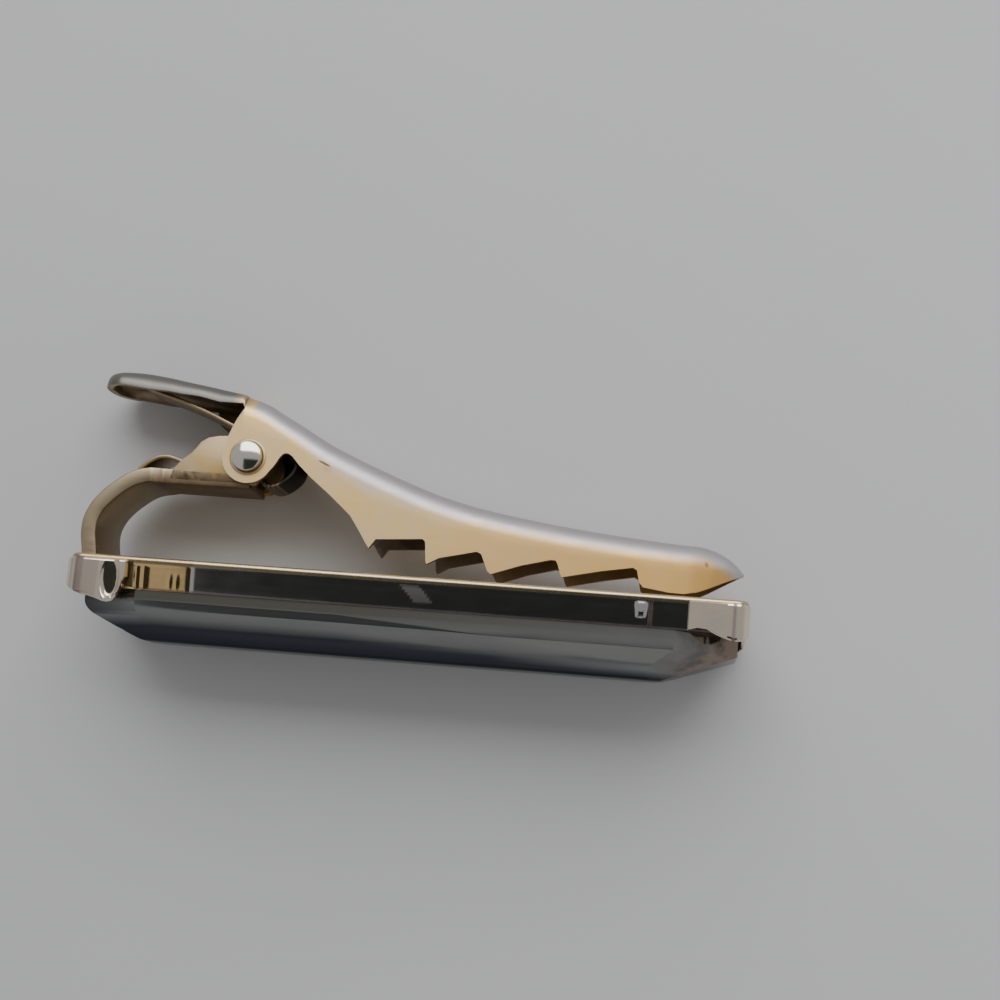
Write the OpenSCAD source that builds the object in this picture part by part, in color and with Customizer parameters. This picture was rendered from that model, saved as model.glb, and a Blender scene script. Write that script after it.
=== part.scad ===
// Alligator-clip tie bar: a long bevelled stone in a thin metal setting, with a
// sprung, toothed lever hinged on a bent bracket at its back.
// Everything is modelled in the bar's own frame first: x runs along the bar from its
// hinge end, y across it, z from the stone (below 0) to the lever (above 0). The module
// laid() then turns it on its side, as it lies by itself on a table.

/* [Setting] */
// Length of the setting over its prongs
setting_len = 49.1; // [45:0.1:52]
// Width of the setting over its prongs
setting_w = 11; // [10:0.1:13]
// Height of the band round the stone
band_h = 2.1; // [1.8:0.05:2.6]
// Thickness of the band's sheet
band_t = 0.4; // [0.35:0.05:0.5]
// How far the corner prongs stand out past the band
prong_out = 0.2; // [0.1:0.05:0.4]
// Thickness of the back plate
back_t = 0.5; // [0.4:0.05:0.7]
// Depth of the back plate below the prongs' tops
rim_h = 0.15; // [0.1:0.05:0.3]
// Height of the band's rim above the prongs' tops
rim_top = 0.25; // [0.15:0.05:0.3]

/* [Stone] */
// Length of the corner cut along the bar
cut_x = 4.5; // [3:0.1:5]
// Length of the corner cut across the bar
cut_y = 2.2; // [2:0.1:2.6]
// Depth of the girdle's lower edge below the bar's back
girdle_z = 3.5; // [3.2:0.05:3.8]
// Depth of the edge between the two rows of bevels
step_z = 4.85; // [4.6:0.05:5]
// Width over the edge between the two rows of bevels
step_w = 6.2; // [5.6:0.1:6.6]
// Depth of the table below the bar's back
table_z = 5.5; // [5.3:0.05:5.6]
// Width of the table
table_w = 3.3; // [3:0.1:3.8]
// Length of both bevels at the hinge end
bevel_hinge = 4.3; // [4:0.1:5.5]
// Length of both bevels at the nose end
bevel_nose = 5.4; // [4:0.1:5.5]
// Where the upper end bevels stop, as a share of both bevels' length
step_end = 0.66; // [0.6:0.01:0.7]

/* [Bracket] */
// Width of the bent strip
strip_w = 5.6; // [5:0.1:5.8]
// Thickness of the bent strip
strip_t = 0.8; // [0.7:0.05:0.85]
// Width over the two lugs that hold the rivet
lug_w = 4.7; // [4.5:0.05:4.7]
// Thickness of each lug
lug_t = 0.5; // [0.4:0.05:0.6]

/* [Hinge] */
// Distance of the hinge from the setting's end
pivot_x = 11.8; // [11.5:0.1:12]
// Height of the hinge above the bar's back
pivot_z = 8.5; // [8.4:0.1:8.7]
// Radius of the rivet's shaft
rivet_r = 0.7; // [0.6:0.05:0.8]
// Radius of the rivet's domed heads
rivet_head_r = 1.13; // [1:0.01:1.3]
// Height of each domed head
rivet_head_h = 0.6; // [0.4:0.05:0.7]

/* [Lever] */
// Width of the lever over its side walls
lever_w = 5.8; // [5.8:0.1:6]
// Thickness of the lever's sheet
lever_t = 0.5; // [0.4:0.05:0.5]
// Width of the lever at its nose
nose_w = 1.6; // [1.4:0.1:2.4]
// Radius of the ears round the rivet
ear_r = 1.95; // [1.8:0.05:2.1]
// Depth of the folded flanges beside the thumb plate
flange_h = 1.05; // [0.9:0.05:1.2]
// Length of the thumb plate's round end
thumb_end = 1.9; // [1.2:0.1:2.6]

/* [Spring] */
// Width of the leaf spring
spring_w = 3.5; // [3:0.1:3.6]
// Thickness of the leaf spring
spring_t = 0.3; // [0.2:0.05:0.35]

/* [Hidden] */
$fn = 64;

// Clearances between pieces
stone_gap = 0.06;
lug_bore_gap = 0.02;
ear_bore_gap = 0.05;
head_gap = 0.05;
through = 40;

// Corners and back plate of the setting
corner_r = 0.9;
plate_top = -rim_h;
plate_low = plate_top - back_t;

// Outline of the stone, inside the band and out to the prongs' inner faces below it
stone_edge = prong_out + band_t + stone_gap;
stone_w = setting_w - 2 * stone_edge;
stone_top = plate_low - stone_gap;

// The lever's upper line, as places along and above the hinge
lever_top = [
    [-12.15, 5.7], [-11.7, 5.92], [-10.7, 6.05], [-9.7, 6.1], [-8.7, 6.1], [-7.2, 5.92],
    [-4.6, 5.48], [-2.7, 5.18], [-0.4, 4.72], [0.9, 4.3], [2.0, 3.7], [3.7, 2.8],
    [6.1, 1.5], [9.2, 0.18], [13.1, -1.34], [16.1, -2.28], [19.1, -2.9], [22.7, -3.44],
    [26.4, -3.83], [29.2, -4.06], [32.1, -4.2], [33.6, -4.2], [34.4, -4.35],
    [35.1, -4.65], [35.8, -5.1], [36.3, -5.48], [36.7, -5.75]];

// The jaw's lower line from the nose back to the arch over the hinge, with four notches
jaw_low = [
    [36.5, -6.05], [35.7, -6.42], [34.4, -7.14], [33.6, -7.52], [32.6, -7.76], [31.5, -7.76],
    [29.7, -7.54], [29.2, -6.28], [26.7, -6.6], [23.9, -7.25], [23.35, -6.08], [20.9, -6.62],
    [18.75, -7.4], [17.9, -5.9], [14.9, -6.5], [14.05, -7.0], [13.7, -5.25], [10.15, -5.45],
    [9.7, -6.12], [9.05, -5.2], [8.1, -3.85], [6.5, -2.48], [4.85, -1.2], [3.85, -0.3],
    [3.35, 0.25], [2.92, 0.5], [2.45, 0.2], [2.15, -0.3]];

// The rear edge of each side wall: round the rivet, then up to the thumb plate
ear_rear = concat([for (a = [-25:-15:-190]) ear_r * [cos(a), sin(a)]],
                  [[-1.72, 1.2], [-1.5, 2.0], [-1.15, 2.8], [-0.7, 3.68]]);

// The spring's middle line: thumb arm, turn round the rivet, and tail on the bracket
spring_line = [
    [-8.9, 5.2], [-7.4, 4.68], [-5.6, 4.1], [-3.6, 3.35], [-1.3, 2.35], [0.2, 1.78],
    [1.6, 1.45], [2.75, 0.95], [3.35, 0.2], [3.3, -0.6], [2.75, -1.3], [2.0, -1.8],
    [1.3, -1.85], [0.85, -1.5], [0.4, -1.05], [-1.5, -1.0], [-3.5, -0.93], [-5.0, -0.55],
    [-6.2, -0.18], [-7.0, -0.18], [-7.7, -0.5], [-8.6, -1.22]];

// The bracket strip's middle line: foot, leg, bend, and run to the hinge
strip_line = [
    [-11.2, -8.85], [-11.38, -7.7], [-11.6, -6.4], [-11.55, -5.4], [-11.15, -4.4],
    [-10.5, -3.55], [-9.7, -2.8], [-8.8, -2.15], [-7.9, -1.78], [-6.8, -1.62],
    [-5.5, -1.6], [-2.0, -1.6], [0.3, -1.6]];

// Lying on its side, the bar rests on two prongs and the thumb plate
thumb_peak_z = pivot_z + 6.1;
lying_tilt = atan((setting_w - lever_w) / 2 / thumb_peak_z);
rest_drop = setting_w / 2 * cos(lying_tilt);

function moved(line, dz) = [for (p = line) [p[0], p[1] + dz]];
function reversed(line) = [for (i = [len(line) - 1:-1:0]) line[i]];
function unit(v) = v / norm(v);
function along(line, i) =
    unit(line[min(i + 1, len(line) - 1)] - line[max(i - 1, 0)]);
function beside(line, d) =
    [for (i = [0:len(line) - 1]) line[i] + d * [-along(line, i)[1], along(line, i)[0]]];
function ribbon(line, t) = concat(beside(line, t / 2), reversed(beside(line, -t / 2)));

// A smooth curve through the given places, in n steps between each pair
function bend(a, b, c, d, t) =
    b + t * (c - a) / 2 + t * t * (a - 2.5 * b + 2 * c - d / 2)
    + t * t * t * (1.5 * b - 1.5 * c + (d - a) / 2);
function smooth(line, n) =
    let (last = len(line) - 1)
    concat([for (i = [0:last - 1], k = [0:n - 1])
                bend(line[max(i - 1, 0)], line[i], line[i + 1], line[min(i + 2, last)], k / n)],
           [line[last]]);

// Turns the bar on its side, with the origin under the middle of its box
module laid() {
    box_y_low = -table_z * cos(lying_tilt) - table_w / 2 * sin(lying_tilt);
    box_y_high = thumb_peak_z * cos(lying_tilt) + lever_w / 2 * sin(lying_tilt);
    translate([-setting_len / 2, -(box_y_low + box_y_high) / 2, rest_drop])
        rotate([-90 - lying_tilt, 0, 0])
            children();
}

// Extrudes a side outline (x along the bar, y as height) across the bar
module across(width) {
    rotate([90, 0, 0])
        linear_extrude(width, center = true)
            children();
}

module at_pivot() {
    translate([pivot_x, 0, pivot_z])
        children();
}

module bar_outline(length, width, r) {
    translate([r, -width / 2 + r])
        offset_box(length - 2 * r, width - 2 * r, r);
}

// A rectangle with round corners, from exact arcs
module offset_box(length, width, r) {
    translate([0, -r])
        square([length, width + 2 * r]);
    translate([-r, 0])
        square([length + 2 * r, width]);
    for (x = [0, length], y = [0, width])
        translate([x, y])
            circle(r);
}

module bar_prism(inset, low, high) {
    r = max(corner_r - inset, 0.2);
    translate([inset, 0, low])
        linear_extrude(high - low)
            bar_outline(setting_len - 2 * inset, setting_w - 2 * inset, r);
}

// One corner-cut ring of the stone, with its corner cuts scaled by cut
function stone_ring(low_x, high_x, half, cut, z) = [
    [low_x + cut * cut_x, -half, z], [high_x - cut * cut_x, -half, z],
    [high_x, -half + cut * cut_y, z], [high_x, half - cut * cut_y, z],
    [high_x - cut * cut_x, half, z], [low_x + cut * cut_x, half, z],
    [low_x, half - cut * cut_y, z], [low_x, -half + cut * cut_y, z]];

// Step-cut stone: straight sides, two rows of eight bevels, flat table
module stone() {
    low_x = stone_edge;
    high_x = setting_len - stone_edge;
    step_cut = 0.62;
    table_cut = 0.3;
    points = concat(
        stone_ring(low_x, high_x, stone_w / 2, 1, stone_top),
        stone_ring(low_x, high_x, stone_w / 2, 1, -girdle_z),
        stone_ring(low_x + step_end * bevel_hinge, high_x - step_end * bevel_nose,
                   step_w / 2, step_cut, -step_z),
        stone_ring(low_x + bevel_hinge, high_x - bevel_nose, table_w / 2, table_cut, -table_z));
    faces = concat(
        [[7, 6, 5, 4, 3, 2, 1, 0]],
        [for (r = [0, 8, 16], i = [0:7]) [r + i, r + (i + 1) % 8, r + 8 + (i + 1) % 8, r + 8 + i]],
        [[24, 25, 26, 27, 28, 29, 30, 31]]);
    color("#43454a")
        polyhedron(points, faces);
}

// Side outlines of the prongs: x from the hinge end, height from the bar's back
module prong_outlines() {
    polygon([[-1, 0], [4.45, 0], [4.4, -1.6], [4.2, -2.2], [3.95, -2.75], [3.65, -3.08],
             [3.3, -3.18], [2.9, -3.14], [2.5, -3.0], [1.9, -2.85], [1.2, -2.72],
             [0.6, -2.55], [0.2, -2.25], [-1, -2.2]]);
    nose = setting_len;
    polygon([[nose + 1, 0], [nose - 4.3, 0], [nose - 4.3, -2.05], [nose - 2.9, -2.0],
             [nose - 1.9, -2.45], [nose - 1.2, -2.65], [nose - 0.4, -2.65], [nose + 1, -2.1]]);
}

module band() {
    difference() {
        bar_prism(prong_out, -band_h, rim_top);
        bar_prism(prong_out + band_t, -band_h - 1, plate_low);
        bar_prism(prong_out + band_t, plate_top, 1);
    }
}

module prongs() {
    prong_reach = 3;
    intersection() {
        difference() {
            bar_prism(0, -table_z, 0);
            bar_prism(prong_out + band_t, -table_z - 1, plate_low);
            bar_prism(prong_out + band_t, plate_top, 1);
        }
        across(through)
            prong_outlines();
        union() {
            for (side = [-1, 1])
                translate([-1, side * setting_w / 2 - prong_reach, -table_z])
                    cube([setting_len + 2, 2 * prong_reach, table_z]);
        }
    }
}

// The strip, narrowed beside the rivet so that the lever's ears can turn
module strip() {
    ear_room = [10.6, 10, 6];
    ear_room_x = 3;
    difference() {
        at_pivot()
            across(strip_w)
                polygon(ribbon(smooth(strip_line, 3), strip_t));
        for (side = [-1, 1])
            at_pivot()
                translate([ear_room_x, side * (lug_w + ear_room[1]) / 2, 0])
                    cube(ear_room, center = true);
    }
}

module lug_outline() {
    difference() {
        union() {
            polygon([[-6.0, -2.0], [-5.8, -1.2], [-5.15, -0.4], [-4.5, 0.15], [-3.85, 1.08],
                     [-3.3, 1.42], [-2.5, 1.6], [0, 1.65], [1.2, -1.2], [0.55, -2.0]]);
            circle(1.65);
        }
        circle(rivet_r + lug_bore_gap);
    }
}

// A gusset that closes one corner between the band and the stone's corner cut
module corner_flap() {
    side = prong_out + 0.1;
    flap_len = 4.3;
    flap_w = 2.3;
    flap_t = 0.3;
    flap_gap = 0.1;
    flap_rise = 0.05;
    slope = cut_y / cut_x;
    cut_start = cut_y + stone_edge - flap_gap;
    translate([0, -setting_w / 2, -band_h + flap_rise])
        linear_extrude(flap_t)
            polygon([[side, side], [flap_len, side],
                     [flap_len, cut_start - slope * (flap_len - stone_edge)],
                     [stone_edge + (cut_start - flap_w) / slope, flap_w], [side, flap_w]]);
}

module setting() {
    color("#a89d80") {
        band();
        prongs();
        corner_flap();
        mirror([0, 1, 0])
            corner_flap();
        translate([setting_len, 0, 0])
            mirror([1, 0, 0]) {
                corner_flap();
                mirror([0, 1, 0])
                    corner_flap();
            }
        strip();
        for (side = [-1, 1])
            translate([0, side * (lug_w - lug_t) / 2, 0])
                at_pivot()
                    across(lug_t)
                        lug_outline();
    }
}

module rivet_profile() {
    inner = lever_w / 2 + head_gap;
    dome_r = (rivet_head_r * rivet_head_r + rivet_head_h * rivet_head_h) / 2 / rivet_head_h;
    translate([0, -inner])
        square([rivet_r, 2 * inner]);
    for (side = [-1, 1])
        intersection() {
            translate([0, side * (inner + rivet_head_h - dome_r)])
                circle(dome_r);
            translate([0, side > 0 ? inner : -inner - rivet_head_h])
                square([rivet_head_r, rivet_head_h]);
        }
}

module rivet() {
    color("#9a9a92")
        at_pivot()
            rotate([90, 0, 0])
                rotate_extrude()
                    rivet_profile();
}

// Side outline of the lever over its whole height
module lever_side() {
    top = smooth(lever_top, 2);
    polygon(concat(top, jaw_low, ear_rear,
                   reversed([for (p = top) if (p[0] < -1.5) [p[0], p[1] - flange_h]])));
}

// Plan outline of the lever, pulled in by inset: round thumb end, tapered nose
module lever_plan(inset) {
    half = lever_w / 2 - inset;
    tip = nose_w / 2 - min(inset, nose_w / 2 - 0.25);
    thumb_x = lever_top[0][0] + inset;
    round_x = lever_top[0][0] + thumb_end;
    nose_x = lever_top[len(lever_top) - 1][0] + 0.3 - inset;
    side = [[29, half], [33, half * 0.8 + tip * 0.2], [35.4, tip + half * 0.25], [nose_x, tip]];
    end = [for (a = [90:15:270])
               [round_x + (round_x - thumb_x) * cos(a), half * sin(a)]];
    polygon(concat(end, [for (p = side) [p[0], -p[1]]], reversed(side)));
}

module lever() {
    hollow_end = 35.5;
    under = [for (p = smooth(moved(lever_top, -lever_t), 2)) if (p[0] < hollow_end) p];
    color("#b3a27c")
        at_pivot()
            difference() {
                intersection() {
                    across(lever_w)
                        lever_side();
                    translate([0, 0, -10])
                        linear_extrude(20)
                            lever_plan(0);
                }
                intersection() {
                    across(lever_w)
                        polygon(concat([[-14, -12], [-14, 4]], under, [[hollow_end, -12]]));
                    translate([0, 0, -14])
                        linear_extrude(24)
                            lever_plan(lever_t);
                }
                across(through)
                    circle(rivet_r + ear_bore_gap);
            }
}

module spring() {
    color("#4a4538")
        at_pivot()
            across(spring_w)
                polygon(ribbon(smooth(spring_line, 3), spring_t));
}

laid() stone();
laid() setting();
laid() rivet();
laid() lever();
laid() spring();
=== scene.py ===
"""A tie bar with an alligator clip, lying on its side on white paper, seen from above."""
import math

import bmesh
import bpy
import numpy as np
from mathutils import Matrix, Vector


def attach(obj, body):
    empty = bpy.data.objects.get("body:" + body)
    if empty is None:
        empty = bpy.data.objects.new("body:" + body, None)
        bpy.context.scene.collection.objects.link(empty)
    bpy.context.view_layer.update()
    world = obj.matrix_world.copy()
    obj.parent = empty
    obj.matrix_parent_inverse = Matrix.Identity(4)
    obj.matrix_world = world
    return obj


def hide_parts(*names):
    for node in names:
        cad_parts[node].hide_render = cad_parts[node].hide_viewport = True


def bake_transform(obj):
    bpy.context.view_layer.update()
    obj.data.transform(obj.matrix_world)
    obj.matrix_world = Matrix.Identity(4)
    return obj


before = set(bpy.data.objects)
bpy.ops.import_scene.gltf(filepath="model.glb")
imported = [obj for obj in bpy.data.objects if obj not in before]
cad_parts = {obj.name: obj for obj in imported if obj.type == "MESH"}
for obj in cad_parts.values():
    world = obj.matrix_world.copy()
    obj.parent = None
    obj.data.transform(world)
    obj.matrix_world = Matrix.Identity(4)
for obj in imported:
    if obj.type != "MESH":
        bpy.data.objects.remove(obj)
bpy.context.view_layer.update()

# The bar's own axes: x along the bar, y across it, z from the stone to the lever, in mm
# from the middle of the hinge. The setting is measured from its left end and from its back.
LEN, WIDTH = 49.1, 11.0
PIVOT_X, PIVOT_Z, HALF_LEN = 11.8, 8.5, 24.55
STONE_DEEP, TABLE_HALF, THUMB_HIGH = 5.5, 1.65, 14.6
LEVER_HALF, SHEET, SHOULDER = 2.9, 0.5, 1.7
# It lies on its side, on the far prongs and the thumb plate's far edge
LEAN = math.atan(2.6 / THUMB_HIGH)
SIN, COS = math.sin(LEAN), math.cos(LEAN)
REST = WIDTH / 2 * COS
SHIFT = (STONE_DEEP * COS + TABLE_HALF * SIN - THUMB_HIGH * COS - LEVER_HALF * SIN) / 2
# The tones that paint() brings out on metal, beside each metal's own
RICH_GOLD, DULL_GREY = (0.68, 0.40, 0.115), (0.195, 0.185, 0.165)
DULL_ROUGH, TARNISH_SHADE_AND_REFLECTION_ROUGH = 0.42, 0.5


def lay(x, y, z):
    """A place on the bar, in mm from the hinge, as a place in the frame in metres."""
    up = z + PIVOT_Z
    return Vector((x + PIVOT_X - HALF_LEN, -y * SIN + up * COS + SHIFT,
                   -y * COS - up * SIN + REST)) / 1000


def unlay(v):
    """The other way: from the frame back to mm from the hinge."""
    px, py, pz = v[0] * 1000, v[1] * 1000 - SHIFT, v[2] * 1000 - REST
    return px - PIVOT_X + HALF_LEN, -py * SIN - pz * COS, py * COS - pz * SIN - PIVOT_Z


def turn(v):
    """A direction on the bar as a direction in the frame."""
    return Vector((v[0], -v[1] * SIN + v[2] * COS, -v[1] * COS - v[2] * SIN))


def smooth_line(points, n):
    """Catmull-Rom curve through points, n steps between each pair."""
    p = np.array(points, float)
    p = np.vstack([p[0], p, p[-1]])
    out = []
    for i in range(1, len(p) - 2):
        a, b, c, d = p[i - 1], p[i], p[i + 1], p[i + 2]
        for k in range(n):
            t = k / n
            out.append(b + t * (c - a) / 2 + t * t * (a - 2.5 * b + 2 * c - d / 2)
                       + t ** 3 * (1.5 * b - 1.5 * c + (d - a) / 2))
    out.append(p[-2])
    return np.array(out)


def link(name, data):
    """A new object of the scene."""
    ob = bpy.data.objects.new(name, data)
    bpy.context.scene.collection.objects.link(ob)
    return ob


def mesh_object(name, verts, faces):
    """A mesh from places on the bar."""
    me = bpy.data.meshes.new(name)
    me.from_pydata([lay(*v) for v in verts], [], faces)
    bm = bmesh.new()
    bm.from_mesh(me)
    bmesh.ops.remove_doubles(bm, verts=bm.verts, dist=1e-7)
    bmesh.ops.recalc_face_normals(bm, faces=bm.faces)
    bm.to_mesh(me)
    bm.free()
    return link(name, me)


def slab_faces(n):
    """Faces of a slab whose n lower points come before its n upper ones."""
    return [tuple(range(n)), tuple(range(n, 2 * n))] + [
        (i, (i + 1) % n, n + (i + 1) % n, n + i) for i in range(n)]


def rings_to_mesh(name, rings, closed_path=False):
    """Joins rings of points, each a closed loop of the same length, into a solid."""
    n, m = len(rings), len(rings[0])
    verts = [tuple(p) for r in rings for p in r]
    faces = []
    for i in range(n if closed_path else n - 1):
        a, b = i * m, ((i + 1) % n) * m
        for k in range(m):
            k2 = (k + 1) % m
            faces.append((a + k, a + k2, b + k2, b + k))
    if not closed_path:
        faces.append(tuple(range(m)))
        faces.append(tuple(range((n - 1) * m, n * m)))
    return mesh_object(name, verts, faces)


def shade(ob, angle):
    """Smooth shading, with edges sharper than angle left sharp."""
    for f in ob.data.polygons:
        f.use_smooth = True
    ob.data.set_sharp_from_angle(angle=math.radians(angle))
    return ob


def apply_modifiers(ob):
    """Puts what an object's modifiers make in place of its mesh."""
    depsgraph = bpy.context.evaluated_depsgraph_get()
    me = bpy.data.meshes.new_from_object(ob.evaluated_get(depsgraph))
    ob.modifiers.clear()
    old, ob.data = ob.data, me
    bpy.data.meshes.remove(old)
    return ob


def soften(ob, width, segments, angle):
    """Rounds the object's sharp edges."""
    mod = ob.modifiers.new("edge", "BEVEL")
    mod.width, mod.segments, mod.limit_method = width / 1000, segments, "ANGLE"
    mod.angle_limit = math.radians(angle)
    mod.use_clamp_overlap = True
    return apply_modifiers(ob)


def wear(ob, body, material, *nodes):
    """Gives a piece its material and its body, and the CAD nodes that it stands for."""
    ob.data.materials.clear()
    ob.data.materials.append(material)
    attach(ob, body)
    if nodes:
        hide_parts(*nodes)


def clamp(value):
    return min(1.0, max(0.0, value))


# Materials

def new_material(name):
    """A material, its node tree and its shader node."""
    mat = bpy.data.materials.new(name)
    mat.use_nodes = True
    tree = mat.node_tree
    shader = tree.nodes["Principled BSDF"]
    return mat, tree, shader


def add(tree, kind, **values):
    """A new node, with values for its inputs or settings."""
    node = tree.nodes.new(kind)
    for key, value in values.items():
        if key in node.inputs:
            node.inputs[key].default_value = value
        else:
            setattr(node, key, value)
    return node


def noise(tree, place, scale, detail=3.0, rough=0.5, stretch=None):
    """Noise at a scale in features per mm, stretched along the bar where asked."""
    node = add(tree, "ShaderNodeTexNoise", Scale=1.0, Detail=detail, Roughness=rough)
    mapping = add(tree, "ShaderNodeMapping")
    s = Vector((1, 1, 1)) if stretch is None else Vector(stretch)
    mapping.inputs["Scale"].default_value = s * scale * 1000
    tree.links.new(place, mapping.inputs["Vector"])
    tree.links.new(mapping.outputs[0], node.inputs["Vector"])
    return node.outputs["Fac"]


def ramp(tree, value, stops):
    """A colour ramp: (position, grey or colour) pairs."""
    node = tree.nodes.new("ShaderNodeValToRGB")
    while len(node.color_ramp.elements) < len(stops):
        node.color_ramp.elements.new(0.5)
    for e, (at, c) in zip(node.color_ramp.elements, stops):
        e.position = at
        e.color = (c, c, c, 1) if isinstance(c, (int, float)) else (*c, 1)
    tree.links.new(value, node.inputs[0])
    return node.outputs[0]


def mix(tree, factor, a, b, **values):
    """From a to b by a factor; each may be a colour, a number or another node's output."""
    node = add(tree, "ShaderNodeMix", data_type="RGBA", **values)
    for socket, value in ((node.inputs[0], factor), (node.inputs[6], a), (node.inputs[7], b)):
        if isinstance(value, bpy.types.NodeSocket):
            tree.links.new(value, socket)
        elif isinstance(value, tuple):
            socket.default_value = (*value, 1)
        else:
            socket.default_value = value
    return node.outputs[2]


def edge_mask(tree, radius):
    """1 on the object's sharp edges, where plating wears off."""
    bevel = add(tree, "ShaderNodeBevel", samples=3, Radius=radius / 1000)
    geometry = tree.nodes.new("ShaderNodeNewGeometry")
    dot = add(tree, "ShaderNodeVectorMath", operation="DOT_PRODUCT")
    tree.links.new(bevel.outputs[0], dot.inputs[0])
    tree.links.new(geometry.outputs["Normal"], dot.inputs[1])
    return ramp(tree, dot.outputs["Value"], [(0.86, 1.0), (0.99, 0.0)])


def paint(ob, name, amount):
    """Stores amount(x, y, z) on a mesh's points, for its material to read."""
    layer = ob.data.attributes.new(name, "FLOAT", "POINT")
    for i, v in enumerate(ob.data.vertices):
        layer.data[i].value = clamp(amount(*unlay(v.co)))


def painted(tree, name):
    """What paint() stored under a name, 0 where nothing was."""
    node = tree.nodes.new("ShaderNodeAttribute")
    node.attribute_name = name
    return node.outputs["Fac"]


def spot(tree, place, at, size, angle):
    """1 inside a small ellipse round a place on the bar, size in mm, turned on the paper."""
    mapping = add(tree, "ShaderNodeMapping", vector_type="TEXTURE")
    mapping.inputs["Location"].default_value = lay(*at)
    mapping.inputs["Rotation"].default_value = (0, 0, math.radians(angle))
    mapping.inputs["Scale"].default_value = Vector((*size, 1.5)) / 1000
    tree.links.new(place, mapping.inputs["Vector"])
    length = add(tree, "ShaderNodeVectorMath", operation="LENGTH")
    tree.links.new(mapping.outputs[0], length.inputs[0])
    return ramp(tree, length.outputs["Value"], [(0.6, 1.0), (1.0, 0.0)])


def metal(name, base, worn, rough, bump=0.1, drift=0.3,
          tarnish_shade_and_reflection_tones=((0.10, 0.065, 0.035), (0.26, 0.17, 0.08)), spots=()):
    """Plated metal: colour drifts towards worn grey, fine drawn streaks, small pits."""
    def worn_by(share):
        return tuple(b * (1 - share) + w * share for b, w in zip(base, worn))

    mat, tree, shader = new_material(name)
    place = add(tree, "ShaderNodeTexCoord").outputs["Object"]
    patches = ramp(tree, noise(tree, place, 0.45, 5, 0.62), [(0.38, 0.0), (0.68, 1.0)])
    streaks = noise(tree, place, 3.0, 4, 0.6, (0.12, 1, 1))
    pits = noise(tree, place, 9.0, 2, 0.6)
    tone = mix(tree, patches, base, worn_by(drift))
    tone = mix(tree, edge_mask(tree, 0.12), tone, worn_by(0.5))
    tone = mix(tree, painted(tree, "rich"), tone, RICH_GOLD)
    tone = mix(tree, painted(tree, "worn"), tone, worn)
    for at, size, angle, colour in spots:
        tone = mix(tree, spot(tree, place, at, size, angle), tone, colour)
    dull, tarnish_shade_and_reflection = painted(tree, "dull"), painted(tree, "tarnish_shade_and_reflection")
    tone = mix(tree, dull, tone, DULL_GREY)
    # Where paint() stored tarnish, painted shade and painted reflections, the colour goes to these
    # darker tones
    tone = mix(tree, tarnish_shade_and_reflection, tone, mix(tree, patches, *tarnish_shade_and_reflection_tones))
    tree.links.new(tone, shader.inputs["Base Color"])
    low, high = rough
    grain = ramp(tree, streaks, [(0.3, low), (0.72, high)])
    grain = mix(tree, patches, grain, (high, high, high))
    grain = mix(tree, dull, grain, (DULL_ROUGH,) * 3)
    grain = mix(tree, tarnish_shade_and_reflection, grain, (TARNISH_SHADE_AND_REFLECTION_ROUGH,) * 3)
    tree.links.new(grain, shader.inputs["Roughness"])
    relief = add(tree, "ShaderNodeBump", Strength=bump, Distance=0.00004)
    tree.links.new(mix(tree, 0.35, pits, streaks), relief.inputs["Height"])
    tree.links.new(relief.outputs[0], shader.inputs["Normal"])
    shader.inputs["Metallic"].default_value = 1.0
    return mat


GOLD = (0.82, 0.57, 0.245)
GREY = (0.52, 0.49, 0.495)
# Spots on the lever: on the near wall a tan patch and, along it, a dark line that paints the shade
# of a small crease; by the nose a small orange-brown mark
lever_metal = metal("worn_gold_lever", GOLD, GREY, (0.38, 0.50),
                    tarnish_shade_and_reflection_tones=((0.19, 0.145, 0.11), (0.36, 0.28, 0.21)),
                    spots=(((6.05, -2.9, -0.42), (0.5, 0.3), -22, (0.66, 0.46, 0.29)),
                           ((5.8, -2.9, -0.12), (0.62, 0.10), -24, (0.20, 0.135, 0.075)),
                           ((34.1, -1.95, -5.5), (0.17, 0.24), 20, (0.40, 0.25, 0.09))))
band_metal = metal("polished_gold_band", (0.95, 0.73, 0.41), GREY, (0.07, 0.14), bump=0.04,
                   drift=0.15, tarnish_shade_and_reflection_tones=((0.06, 0.04, 0.024), (0.14, 0.095, 0.055)))
# Its darker tones are the plum of the prongs' painted reflections
setting_metal = metal("polished_gold_setting", (0.78, 0.68, 0.54), GREY, (0.06, 0.13), bump=0.04,
                      tarnish_shade_and_reflection_tones=((0.17, 0.12, 0.125), (0.24, 0.18, 0.17)))
lug_metal = metal("brown_gold_lug", (0.47, 0.32, 0.135), GREY, (0.38, 0.50), drift=0.35)
strip_metal = metal("dull_gold_strip", (0.385, 0.305, 0.195), (0.36, 0.32, 0.25), (0.24, 0.38))
rivet_metal = metal("polished_rivet", (0.80, 0.76, 0.66), GREY, (0.06, 0.14), bump=0.02)
spring_metal = metal("tarnished_spring", (0.38, 0.28, 0.16), (0.22, 0.20, 0.16), (0.2, 0.36),
                     tarnish_shade_and_reflection_tones=((0.030, 0.032, 0.024), (0.055, 0.050, 0.036)))


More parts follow.
